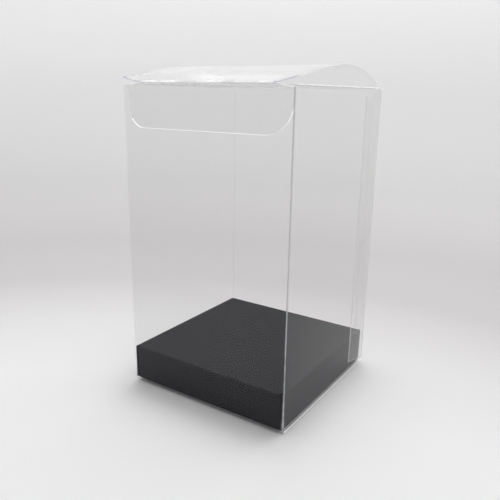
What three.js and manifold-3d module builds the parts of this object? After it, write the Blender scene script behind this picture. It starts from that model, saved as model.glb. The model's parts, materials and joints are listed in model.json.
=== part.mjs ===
// Clear folding display box with a tuck lid and a black card plinth.
// Millimetres, +Z up, the front panel faces -Y. The origin is the middle of the box's footprint.
import * as THREE from 'three';
import { mergeVertices } from 'three/addons/utils/BufferGeometryUtils.js';
import Module from 'manifold-3d';

const wasm = await Module();
wasm.setup();

// Sleeve
const boxWidth = 60;
const boxDepth = 60;
const boxHeight = 100;
const sheet = 0.3;
const foldRadius = 0.6;
const frontEdgeDrop = 0.7;
const freeEdgeSetback = 0.3;

// Creases that flaps turn on: each is a small round bead along the edge of its panel
const beadRadius = 0.35;
const beadNeck = 0.3;
const beadSetback = 2;
const hingeGap = 0.25;
const plyGap = 0.3;

// Glued corner
const tabWidth = 11.5;
const tabSlant = 2;
const glueThickness = 0.1;
const glueWidth = 5.5;
const glueMargin = 1;

// Lid and tuck flap
const lidSideGap = 0.3;
const lidPeakRise = 6.3;
const lidFrontRise = 0.85;
const lidLipSetback = 0.2;
const lidSteps = 30;
const lidPeakShare = 0.57;
const frontStartShares = [0.235, 0.62];
const frontPeakShare = 0.3;
const backPeakShare = 0.41;
const backEndShares = [0.24, 0.43];
const slitLength = 6.5;
const shoulderLift = 1.4;
const shoulderFade = 6;
const tuckDepth = 14;
const tuckCornerRadius = 8;
const tuckSideGap = 0.8;
const tuckShoulderDrop = 0.7;
const tuckLean = 2;
const tuckBendShare = 0.33;
const tuckSteps = 10;

// Dust flaps, the same at the top and at the bottom
const dustMiddleGap = 4;
const dustFrontGap = 2.2;
const dustBackGap = 3.6;
const dustTaper = 10;
const dustNotchDepth = 5;
const dustNotchStep = 1.5;
const dustCornerRadius = 3;

// Bottom closure
const bottomTuckDepth = 6.3;
const bottomTuckCornerRadius = 3;
const bottomTuckLean = 0.4;
const bottomTuckClearance = 0.1;

// Card plinth
const plinthTop = 12.7;
const card = 0.5;
const cardFoldRadius = 0.7;
const plinthFrontGap = 0.3;
const plinthSideGap = 0.3;
const plinthTuckGap = 0.1;
const cornerTabLength = 9;
const cornerTabSlant = 1.5;
const cornerGlueLength = 5;

// Planes and lines that the pieces share
const halfWidth = boxWidth / 2;
const halfDepth = boxDepth / 2;
const backHingeY = halfDepth - beadRadius;
const frontHingeY = -(halfDepth - beadRadius);
const topHingeZ = boxHeight - beadRadius;
const bottomHingeZ = beadRadius;
const lowerDustHingeZ = sheet + plyGap + sheet / 2;
const tuckHingeY = -(halfDepth - sheet - plyGap - beadRadius);
const tuckHingeZ = topHingeZ + lidFrontRise;
const bottomTuckHingeY = halfDepth - sheet - bottomTuckClearance - beadRadius;
const plinthBottom = lowerDustHingeZ + sheet / 2 + plyGap;
const seamInset = sheet + glueThickness;
const flapStart = beadRadius + hingeGap;
const slitX = halfWidth - slitLength;
const lidSide = halfWidth - lidSideGap;
const dustReach = halfWidth - dustMiddleGap - beadRadius - flapStart;
const plinthWidth = boxWidth - 2 * (seamInset + sheet + plinthSideGap);
const plinthFront = -halfDepth + sheet + plinthFrontGap;
const plinthBack = bottomTuckHingeY - bottomTuckLean - sheet / 2 - plinthTuckGap;
const plinthDepth = plinthBack - plinthFront;

// How far cutting tools run past what they cut
const overrun = 2;

const clearSheet = () => new THREE.MeshStandardMaterial({
  color: 0xeef0f4,
  roughness: 0.08,
  metalness: 0,
  transparent: true,
  opacity: 0.22,
});

const clearGlue = () => new THREE.MeshStandardMaterial({
  color: 0xe6e4e0,
  roughness: 0.45,
  metalness: 0,
  transparent: true,
  opacity: 0.4,
});

const blackCard = () => new THREE.MeshStandardMaterial({
  color: 0x1d1c1f,
  roughness: 0.78,
  metalness: 0,
});

// A closed geometry as a solid that can be joined and cut
function solidOf(geometry) {
  const bare = geometry.clone();
  bare.deleteAttribute('normal');
  bare.deleteAttribute('uv');
  const merged = mergeVertices(bare);
  return new wasm.Manifold(new wasm.Mesh({
    numProp: 3,
    vertProperties: new Float32Array(merged.attributes.position.array),
    triVerts: new Uint32Array(merged.index.array),
  }));
}

// A solid as a geometry, with its vertices in Z-up millimetres as they were
function geometryOf(solid) {
  const mesh = solid.getMesh();
  const geometry = new THREE.BufferGeometry();
  geometry.setAttribute('position', new THREE.BufferAttribute(new Float32Array(mesh.vertProperties), 3));
  geometry.setIndex(new THREE.BufferAttribute(new Uint32Array(mesh.triVerts), 1));
  geometry.computeVertexNormals();
  return geometry;
}

const joined = (first, ...others) => geometryOf(
  others.reduce((solid, geometry) => solid.add(solidOf(geometry)), solidOf(first)),
);

const cutFrom = (geometry, tool) => geometryOf(solidOf(geometry).subtract(solidOf(tool)));

// A shape drawn on the plane of two unit directions and extruded evenly to both sides of that plane
function extruded(shape, thickness, across, upward, curveSegments = 8) {
  const geometry = new THREE.ExtrudeGeometry(shape, { depth: thickness, bevelEnabled: false, curveSegments });
  geometry.translate(0, 0, -thickness / 2);
  const through = new THREE.Vector3().crossVectors(across, upward);
  return geometry.applyMatrix4(new THREE.Matrix4().makeBasis(across, upward, through));
}

const plusX = new THREE.Vector3(1, 0, 0);
const plusY = new THREE.Vector3(0, 1, 0);
const plusZ = new THREE.Vector3(0, 0, 1);
const minusY = new THREE.Vector3(0, -1, 0);
const minusZ = new THREE.Vector3(0, 0, -1);

const polygon = (points) => new THREE.Shape(points.map(([x, y]) => new THREE.Vector2(x, y)));

// The plan of one wall of the sleeve, drawn as the front wall: flat from its near end at +X to the fold
// at -X, where a quarter turn of sheet leads into the next wall
function wallPlan(span, reach, nearEnd, foldInset) {
  const foldX = -(span / 2 - foldInset - foldRadius);
  const foldY = -(reach - foldRadius);
  const innerRadius = foldRadius - sheet;
  const plan = new THREE.Shape();
  plan.moveTo(foldX - foldRadius, foldY);
  plan.absarc(foldX, foldY, foldRadius, Math.PI, 1.5 * Math.PI, false);
  plan.lineTo(nearEnd, -reach);
  plan.lineTo(nearEnd, -reach + sheet);
  plan.lineTo(foldX, -reach + sheet);
  plan.absarc(foldX, foldY, innerRadius, 1.5 * Math.PI, Math.PI, true);
  plan.closePath();
  return plan;
}

// The bead along a crease and the neck of sheet under it, with the crease's axis along X at the origin.
// hang is the direction from the axis to the wall.
function creaseBead(length, hang) {
  const innerFace = beadRadius - sheet;
  const neckAngle = Math.acos(innerFace / beadRadius);
  const section = new THREE.Shape();
  section.moveTo(beadRadius, -beadRadius - beadNeck);
  section.lineTo(beadRadius, 0);
  section.absarc(0, 0, beadRadius, 0, 2 * Math.PI - neckAngle, false);
  section.lineTo(innerFace, -beadRadius - beadNeck);
  section.closePath();
  return extruded(section, length, minusY, hang.clone().negate());
}

// One wall of the sleeve in the front wall's place. bottom and top say how each edge ends: 'bead' at the
// hinge height given, or 'free' at the height given.
function wall({ span, reach, nearEnd, foldInset = 0, bottom, top }) {
  const low = bottom.edge === 'bead' ? bottom.height + beadRadius : bottom.height;
  const high = top.edge === 'bead' ? top.height - beadRadius : top.height;
  const plate = extruded(wallPlan(span, reach, nearEnd, foldInset), high - low, plusX, plusY);
  plate.translate(0, 0, (high + low) / 2);
  const beads = [[bottom, plusZ], [top, minusZ]]
    .filter(([end]) => end.edge === 'bead')
    .map(([end, hang]) => creaseBead(span - 2 * beadSetback, hang)
      .translate(0, -(reach - beadRadius), end.height));
  return joined(plate, ...beads);
}

// Quarter turns that bring the front wall's place to each side
const sideTurns = { front: 0, right: Math.PI / 2, back: Math.PI, left: -Math.PI / 2 };

const part = new THREE.Group();

function addPiece(name, geometry, material, parent = part) {
  const mesh = new THREE.Mesh(geometry, material);
  mesh.name = name;
  parent.add(mesh);
  return mesh;
}

const sideGroups = {};
for (const [side, turn] of Object.entries(sideTurns)) {
  sideGroups[side] = new THREE.Group();
  sideGroups[side].rotation.z = turn;
  part.add(sideGroups[side]);
}

function buildSleeve() {
  const lidCrease = { edge: 'bead', height: topHingeZ };
  const lowerDustCrease = { edge: 'bead', height: lowerDustHingeZ };
  const front = wall({
    span: boxWidth,
    reach: halfDepth,
    nearEnd: halfWidth - foldRadius,
    bottom: { edge: 'bead', height: bottomHingeZ },
    top: { edge: 'free', height: boxHeight - frontEdgeDrop },
  });
  const right = wall({
    span: boxDepth,
    reach: halfWidth,
    nearEnd: halfDepth - freeEdgeSetback,
    bottom: lowerDustCrease,
    top: lidCrease,
  });
  const back = wall({
    span: boxWidth,
    reach: halfDepth,
    nearEnd: halfWidth - foldRadius,
    foldInset: seamInset,
    bottom: { edge: 'free', height: 0 },
    top: lidCrease,
  });
  const left = wall({
    span: boxDepth,
    reach: halfWidth,
    nearEnd: halfDepth - foldRadius,
    bottom: lowerDustCrease,
    top: lidCrease,
  });
  addPiece('front_panel', front, clearSheet(), sideGroups.front);
  addPiece('right_panel', right, clearSheet(), sideGroups.right);
  addPiece('back_panel', back, clearSheet(), sideGroups.back);
  addPiece('left_panel', left, clearSheet(), sideGroups.left);
}

// The tab that the back panel ends in, with slanted ends, flat against the right panel's inner face
function buildGlueTab() {
  const foldEnd = halfDepth - foldRadius;
  const freeEnd = halfDepth - tabWidth;
  const low = lowerDustHingeZ + beadRadius + plyGap;
  const high = topHingeZ - beadRadius - plyGap;
  const outline = polygon([
    [foldEnd, low],
    [foldEnd, high],
    [freeEnd, high - tabSlant],
    [freeEnd, low + tabSlant],
  ]);
  const tab = extruded(outline, sheet, plusY, plusZ);
  tab.translate(halfWidth - sheet - glueThickness - sheet / 2, 0, 0);
  addPiece('glue_tab', tab, clearSheet());

  const film = new THREE.BoxGeometry(glueThickness, glueWidth, high - low - 2 * (tabSlant + glueMargin));
  film.translate(halfWidth - sheet - glueThickness / 2, freeEnd + glueMargin + glueWidth / 2, (high + low) / 2);
  addPiece('seam_adhesive', film, clearGlue());
}

// The lid's mid-line seen from the side: up from the front crease to the peak, then down to the back hinge
function lidCurve() {
  const start = new THREE.Vector2(tuckHingeY, tuckHingeZ);
  const end = new THREE.Vector2(backHingeY, topHingeZ);
  const peak = new THREE.Vector2(-halfDepth + boxDepth * lidPeakShare, topHingeZ + lidPeakRise);
  const rise = peak.clone().sub(start);
  const fall = end.clone().sub(peak);
  const front = new THREE.CubicBezierCurve(
    start,
    start.clone().add(new THREE.Vector2(rise.x * frontStartShares[0], rise.y * frontStartShares[1])),
    peak.clone().sub(new THREE.Vector2(rise.x * frontPeakShare, 0)),
    peak,
  );
  const back = new THREE.CubicBezierCurve(
    peak,
    peak.clone().add(new THREE.Vector2(fall.x * backPeakShare, 0)),
    end.clone().sub(new THREE.Vector2(fall.x * backEndShares[0], fall.y * backEndShares[1])),
    end,
  );
  return { front, back };
}

// The path that the lid's sheet is swept along: from the lip of its shoulders, in front of the crease,
// to its root, which stays clear of the back panel's bead
function lidPath() {
  const { front, back } = lidCurve();
  const startSlope = front.getTangentAt(0);
  const lipY = -halfDepth + lidLipSetback;
  const lip = startSlope.clone().multiplyScalar((lipY - tuckHingeY) / startSlope.x).add(front.getPointAt(0));
  const rootShare = 1 - flapStart / back.getLength();
  const points = [lip];
  for (let i = 0; i <= lidSteps / 2; i += 1) {
    points.push(front.getPointAt((2 * i) / lidSteps));
  }
  for (let i = 1; i <= lidSteps / 2; i += 1) {
    points.push(back.getPointAt((2 * i * rootShare) / lidSteps));
  }
  return new THREE.CatmullRomCurve3(points.map((point) => new THREE.Vector3(0, point.x, point.y)));
}

// A strip of the lid's sheet between two places along X, swept along the lid's bow
function lidStrip(fromX, toX) {
  const section = polygon([
    [fromX, -sheet / 2],
    [toX, -sheet / 2],
    [toX, sheet / 2],
    [fromX, sheet / 2],
  ]);
  return new THREE.ExtrudeGeometry(section, { steps: lidSteps, extrudePath: lidPath() });
}

// A strip beyond a slit, whose front curls up, the more the further out
function lidShoulder(fromX, toX) {
  const strip = lidStrip(fromX, toX);
  const place = strip.attributes.position;
  for (let i = 0; i < place.count; i += 1) {
    const outward = (Math.abs(place.getX(i)) - slitX) / (lidSide - slitX);
    const forward = THREE.MathUtils.clamp((tuckHingeY + shoulderFade - place.getY(i)) / shoulderFade, 0, 1);
    place.setZ(i, place.getZ(i) + shoulderLift * outward * forward ** 2);
  }
  return strip;
}

function slitNotch() {
  return new THREE.BoxGeometry(2 * slitX, overrun, 2 * overrun)
    .translate(0, tuckHingeY - overrun / 2, tuckHingeZ);
}

// The bead of a crease that lies between two slits
function beadBetweenSlits(y, z) {
  return new THREE.CylinderGeometry(beadRadius, beadRadius, 2 * slitX, 16)
    .rotateZ(Math.PI / 2)
    .translate(0, y, z);
}

// Between the slits the lid ends at the crease bead of the tuck flap, and beyond them in curled shoulders
function buildLid() {
  const blank = joined(lidStrip(-slitX, slitX), lidShoulder(-lidSide, -slitX), lidShoulder(slitX, lidSide));
  const lid = joined(cutFrom(blank, slitNotch()), beadBetweenSlits(tuckHingeY, tuckHingeZ));
  addPiece('lid_panel', lid, clearSheet());
}

// A flap with round outer corners, drawn flat with its root at the top and hanging down. Beyond the slits
// its root slopes down by shoulderDrop.
function flapOutline(width, depth, cornerRadius, shoulderDrop) {
  const side = width / 2;
  const outline = new THREE.Shape();
  outline.moveTo(-slitX, 0);
  outline.lineTo(-side, -shoulderDrop);
  outline.lineTo(-side, -depth + cornerRadius);
  outline.absarc(-side + cornerRadius, -depth + cornerRadius, cornerRadius, Math.PI, 1.5 * Math.PI, false);
  outline.lineTo(side - cornerRadius, -depth);
  outline.absarc(side - cornerRadius, -depth + cornerRadius, cornerRadius, 1.5 * Math.PI, 2 * Math.PI, false);
  outline.lineTo(side, -shoulderDrop);
  outline.lineTo(slitX, 0);
  outline.closePath();
  return outline;
}

// The tuck flap is the overlap of its flat outline, run through, with a sheet that leans gently inward
function buildTuckFlap() {
  const root = tuckHingeZ - flapStart;
  const outline = flapOutline(boxWidth - 2 * tuckSideGap, tuckDepth, tuckCornerRadius, tuckShoulderDrop);
  const blank = extruded(outline, 2 * (tuckLean + overrun), plusX, plusZ, 12);
  blank.translate(0, tuckHingeY, root);
  const bend = new THREE.QuadraticBezierCurve3(
    new THREE.Vector3(0, tuckHingeY, root + sheet),
    new THREE.Vector3(0, tuckHingeY + tuckLean * tuckBendShare, root - tuckDepth / 2),
    new THREE.Vector3(0, tuckHingeY + tuckLean, root - tuckDepth - sheet),
  );
  const section = polygon([
    [-halfWidth, -sheet / 2],
    [halfWidth, -sheet / 2],
    [halfWidth, sheet / 2],
    [-halfWidth, sheet / 2],
  ]);
  const leaning = new THREE.ExtrudeGeometry(section, { steps: tuckSteps, extrudePath: bend });
  addPiece('tuck_flap', geometryOf(solidOf(blank).intersect(solidOf(leaning))), clearSheet());
}

// A dust flap's plan in the front wall's place. Its taper faces the side, +1 or -1 along X, that the
// closing panel turns on, and a notch for that panel's slit is cut beside its other edge.
function dustOutline(span, reach, taperSide) {
  const root = -(reach - beadRadius) + flapStart;
  const tip = root + dustReach;
  const taperEdge = span / 2 - dustBackGap;
  const lockEdge = -(span / 2 - dustFrontGap);
  const points = [
    [taperEdge, root],
    [taperEdge - dustTaper, tip],
    [lockEdge + dustNotchStep + dustCornerRadius, tip],
    [lockEdge + dustNotchStep, tip - dustCornerRadius],
    [lockEdge + dustNotchStep, root + dustNotchDepth],
    [lockEdge, root + dustNotchDepth - dustNotchStep],
    [lockEdge, root],
  ];
  return polygon(points.map(([x, y]) => [x * taperSide, y]));
}

function buildDustFlaps() {
  const closures = [
    { prefix: 'dust_flap', height: topHingeZ, taperSides: { right: 1, left: -1 } },
    { prefix: 'bottom_dust_flap', height: lowerDustHingeZ, taperSides: { right: -1, left: 1 } },
  ];
  for (const { prefix, height, taperSides } of closures) {
    for (const side of ['left', 'right']) {
      const flap = extruded(dustOutline(boxDepth, halfWidth, taperSides[side]), sheet, plusX, plusY);
      flap.translate(0, 0, height);
      addPiece(`${prefix}_${side}`, flap, clearSheet(), sideGroups[side]);
    }
  }
}

// The bottom closure lies flat on the table, flush with the beads that it turns on and ends in
function buildBottomClosure() {
  const root = frontHingeY + flapStart;
  const lipY = halfDepth - sheet - plyGap;
  const outline = polygon([
    [-lidSide, root],
    [lidSide, root],
    [lidSide, lipY],
    [slitX, lipY],
    [slitX, bottomTuckHingeY],
    [-slitX, bottomTuckHingeY],
    [-slitX, lipY],
    [-lidSide, lipY],
  ]);
  const plate = extruded(outline, sheet, plusX, plusY);
  plate.translate(0, 0, sheet / 2);
  const closure = joined(plate, beadBetweenSlits(bottomTuckHingeY, bottomHingeZ));
  addPiece('bottom_closure_panel', closure, clearSheet());

  const tuckOutline = flapOutline(plinthWidth, bottomTuckDepth, bottomTuckCornerRadius, 0);
  const tuck = extruded(tuckOutline, sheet, plusX, minusZ);
  tuck.rotateX(Math.asin(bottomTuckLean / bottomTuckDepth));
  tuck.translate(0, bottomTuckHingeY, bottomHingeZ + flapStart);
  addPiece('bottom_tuck_flap', tuck, clearSheet());
}

// The section of a skirt of the plinth, with the quarter turn of card that leads up into the deck. The
// skirt's outer face is at x = 0 and the deck's top at y = 0.
function skirtSection(height) {
  const innerRadius = cardFoldRadius - card;
  const section = new THREE.Shape();
  section.moveTo(0, -height);
  section.lineTo(card, -height);
  section.lineTo(card, -cardFoldRadius);
  section.absarc(cardFoldRadius, -cardFoldRadius, innerRadius, Math.PI, Math.PI / 2, true);
  section.lineTo(cardFoldRadius, 0);
  section.absarc(cardFoldRadius, -cardFoldRadius, cardFoldRadius, Math.PI / 2, Math.PI, false);
  section.closePath();
  return section;
}

// A skirt in the front skirt's place
function skirt(length, reach) {
  const folded = extruded(skirtSection(plinthTop - plinthBottom), length, plusY, plusZ);
  return folded.translate(0, -reach, plinthTop);
}

// The fold at one end of the front skirt, +1 or -1 along X, with the tab that it leads into and that
// lies inside the side skirt
function cornerTab(end, cornerX, reach) {
  const innerRadius = cardFoldRadius - card;
  const centreX = end * (cornerX - cardFoldRadius);
  const centreY = -(reach - cardFoldRadius);
  const straight = 1.5 * Math.PI;
  const turned = straight + end * Math.PI / 2;
  const low = plinthBottom;
  const high = plinthTop - 2 * cardFoldRadius;
  const turn = new THREE.Shape();
  turn.absarc(centreX, centreY, cardFoldRadius, straight, turned, end < 0);
  turn.absarc(centreX, centreY, innerRadius, turned, straight, end > 0);
  turn.closePath();
  const fold = extruded(turn, high - low, plusX, plusY);
  fold.translate(0, 0, (high + low) / 2);
  const outline = polygon([
    [centreY - innerRadius, low],
    [centreY, low],
    [centreY + cornerTabLength, low + cornerTabSlant],
    [centreY + cornerTabLength, high - cornerTabSlant],
    [centreY, high],
    [centreY - innerRadius, high],
  ]);
  const tab = extruded(outline, card, plusY, plusZ);
  tab.translate(end * (cornerX - card / 2), 0, 0);
  return joined(fold, tab);
}

// The film of glue between a corner tab and the side skirt that it lies against
function cornerGlue(end, cornerX, reach) {
  const low = plinthBottom + cornerTabSlant + glueMargin;
  const high = plinthTop - 2 * cardFoldRadius - cornerTabSlant - glueMargin;
  const film = new THREE.BoxGeometry(glueThickness, cornerGlueLength, high - low);
  const start = -(reach - cardFoldRadius) + glueMargin;
  return film.translate(end * (cornerX + glueThickness / 2), start + cornerGlueLength / 2, (high + low) / 2);
}

// The plinth is one tray of card, folded down on four sides. Its front and back skirts end in tabs that
// are glued inside the side skirts.
function buildPlinth() {
  const plinth = new THREE.Group();
  plinth.position.y = (plinthFront + plinthBack) / 2;
  part.add(plinth);

  const deckWidth = plinthWidth - 2 * cardFoldRadius;
  const deckDepth = plinthDepth - 2 * cardFoldRadius;
  const deck = new THREE.BoxGeometry(deckWidth, deckDepth, card).translate(0, 0, plinthTop - card / 2);
  addPiece('plinth_deck', deck, blackCard(), plinth);

  const cornerX = plinthWidth / 2 - card - glueThickness;
  const tabNames = { front: { 1: 'front_right', '-1': 'front_left' }, back: { 1: 'back_left', '-1': 'back_right' } };
  for (const [side, turn] of Object.entries(sideTurns)) {
    const group = new THREE.Group();
    group.rotation.z = turn;
    plinth.add(group);
    const endsInTabs = side in tabNames;
    const reach = endsInTabs ? plinthDepth / 2 : plinthWidth / 2;
    const length = endsInTabs ? 2 * (cornerX - cardFoldRadius) : plinthDepth;
    addPiece(`plinth_skirt_${side}`, skirt(length, reach), blackCard(), group);
    if (endsInTabs) {
      for (const end of [1, -1]) {
        const name = tabNames[side][end];
        addPiece(`plinth_corner_tab_${name}`, cornerTab(end, cornerX, reach), blackCard(), group);
        addPiece(`plinth_corner_glue_${name}`, cornerGlue(end, cornerX, reach), clearGlue(), group);
      }
    }
  }
}

buildSleeve();
buildGlueTab();
buildLid();
buildTuckFlap();
buildDustFlaps();
buildBottomClosure();
buildPlinth();

export default part;
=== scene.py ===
import json
import math

import bmesh
import bpy
import numpy as np
from mathutils import Matrix, Vector, noise
from mathutils.geometry import interpolate_bezier


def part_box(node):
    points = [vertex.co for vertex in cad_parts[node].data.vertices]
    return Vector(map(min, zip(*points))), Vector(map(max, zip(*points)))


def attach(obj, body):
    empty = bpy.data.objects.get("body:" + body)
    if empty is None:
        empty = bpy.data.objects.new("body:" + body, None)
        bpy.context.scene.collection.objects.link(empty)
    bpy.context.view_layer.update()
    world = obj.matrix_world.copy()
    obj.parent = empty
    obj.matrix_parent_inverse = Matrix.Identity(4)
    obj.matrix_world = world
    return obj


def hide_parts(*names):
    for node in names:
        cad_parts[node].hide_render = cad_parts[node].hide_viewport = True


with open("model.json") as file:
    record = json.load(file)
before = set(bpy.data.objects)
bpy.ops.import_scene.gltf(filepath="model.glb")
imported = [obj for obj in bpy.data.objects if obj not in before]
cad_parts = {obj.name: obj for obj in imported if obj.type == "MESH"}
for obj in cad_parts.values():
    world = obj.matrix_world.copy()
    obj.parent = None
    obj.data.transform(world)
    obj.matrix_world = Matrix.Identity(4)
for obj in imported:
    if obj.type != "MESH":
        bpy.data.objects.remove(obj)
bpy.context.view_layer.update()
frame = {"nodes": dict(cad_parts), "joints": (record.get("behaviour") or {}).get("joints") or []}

# Clear PVC folding box with a black card plinth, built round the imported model. Lengths are in mm
# until a vertex is placed, and then in metres.
mm = 0.001
print("frame loaded, with", len(frame["nodes"]), "nodes")


def nodeBox(name):
    low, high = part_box(name)
    return low / mm, high / mm


hinges = {joint["name"]: Vector(joint["pos_m"]) / mm for joint in frame["joints"] if "pos_m" in joint}
halfWidth = nodeBox("right_panel")[1].x
halfDepth = -nodeBox("front_panel")[0].y
wallTop = nodeBox("front_panel")[1].z

# The sheet itself, and how it is cut and creased
sheet = {
    "thickness": 0.3,
    "creaseRadius": 0.2,  # of the sheet's middle, round the line that a flap turns on
    "creaseTurn": 140,  # degrees of the bend that stay with the panel
    "creaseSteps": 7,
    "creaseMiddle": 0.21,  # from that line to the middle of the bend, along the sheet
    "creaseFade": 0.17,
    "flapGap": 0.37,  # from that line to the flap's root
    "flapStart": 0.6,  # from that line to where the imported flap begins
    "rootWhite": 0.4,  # how white a flap is along its root
    "rootFade": 0.25,
    "cutEdge": 0.22,  # the strip along a cut that looks white
    "edgeReach": 0.4,  # takes in that strip and the cut face beside it
    "cell": 3.0,
    "sharpAngle": 40,
}
creaseArc = sheet["creaseRadius"] * math.radians(sheet["creaseTurn"])
bendLines = [creaseArc * i / sheet["creaseSteps"] for i in range(1, sheet["creaseSteps"])]
noiseSpread = (0.35, 0.65)  # most values of a noise texture lie between these


def hexColour(text):
    channels = [int(text[i:i + 2], 16) / 255 for i in (0, 2, 4)]
    linear = [c / 12.92 if c <= 0.04045 else ((c + 0.055) / 1.055) ** 2.4 for c in channels]
    return (*linear, 1.0)


def addNode(tree, kind, settings=None, links=None):
    node = tree.nodes.new(kind)
    for key, value in (settings or {}).items():
        if isinstance(key, int) or key in node.inputs:
            node.inputs[key].default_value = value
        else:
            setattr(node, key, value)
    for key, source in (links or {}).items():
        tree.links.new(source, node.inputs[key])
    return node


def newMaterial(name):
    material = bpy.data.materials.new(name)
    material.use_nodes = True
    material.node_tree.nodes.clear()
    return material, material.node_tree


# Calendered clear PVC sheet. It is rolled between polished drums, so it is glassy, with a faint swim in
# what it mirrors. It takes little from the light behind it, and shows by its creases and cut edges.
clearPvc = {
    "tint": "fafafa",  # what white looks like behind one sheet
    "mirror": "fdfdfd",
    "ior": 1.17,  # 1.53 in the tables, matched down to how little the real sheet mirrors here
    "roughness": 0.08,
    "swimLength": 14,
    "swimHeight": 0.02,
    "creaseColour": "bdbdc1",  # greyer than a crease's white, because it stands in its own shade
    "creaseCover": 0.9,
    "creaseSpot": 2.5,  # how far apart the whiter and the clearer places of a crease are
    "creaseLeast": 0.55,  # share of the white that the clearer places keep
    "glow": 0.15,  # how much of the whitened sheet's light comes through from behind
    "paintedGlow": 0.03,  # painted glow: light given out by the whitened places, brighter than the light on them
    "cover": 0.0,  # white over the whole face, which only cut edges have
    "scuffCover": 0.012,
    "scuffLength": 9,
    "scuffAspect": 8,
    "scuffStretch": 0.12,
    "scuffTurn": (0.3, 0.2, 0.4),
    "scuffSpread": (0.56, 0.72),
    "dustSpacing": 11,
    "dustSize": 0.11,
    "dustCover": 0.35,
}


# A whitened line is a hair wide, and a film of glue is thin: each is seen, but the light goes on past it
def lightPasses(tree):
    path = addNode(tree, "ShaderNodeLightPath")
    lighting = addNode(tree, "ShaderNodeMath", {"operation": "MAXIMUM"},
                       {0: path.outputs["Is Shadow Ray"], 1: path.outputs["Is Diffuse Ray"]})
    return addNode(tree, "ShaderNodeMath", {"operation": "SUBTRACT", 0: 1.0}, {1: lighting.outputs[0]})


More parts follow.
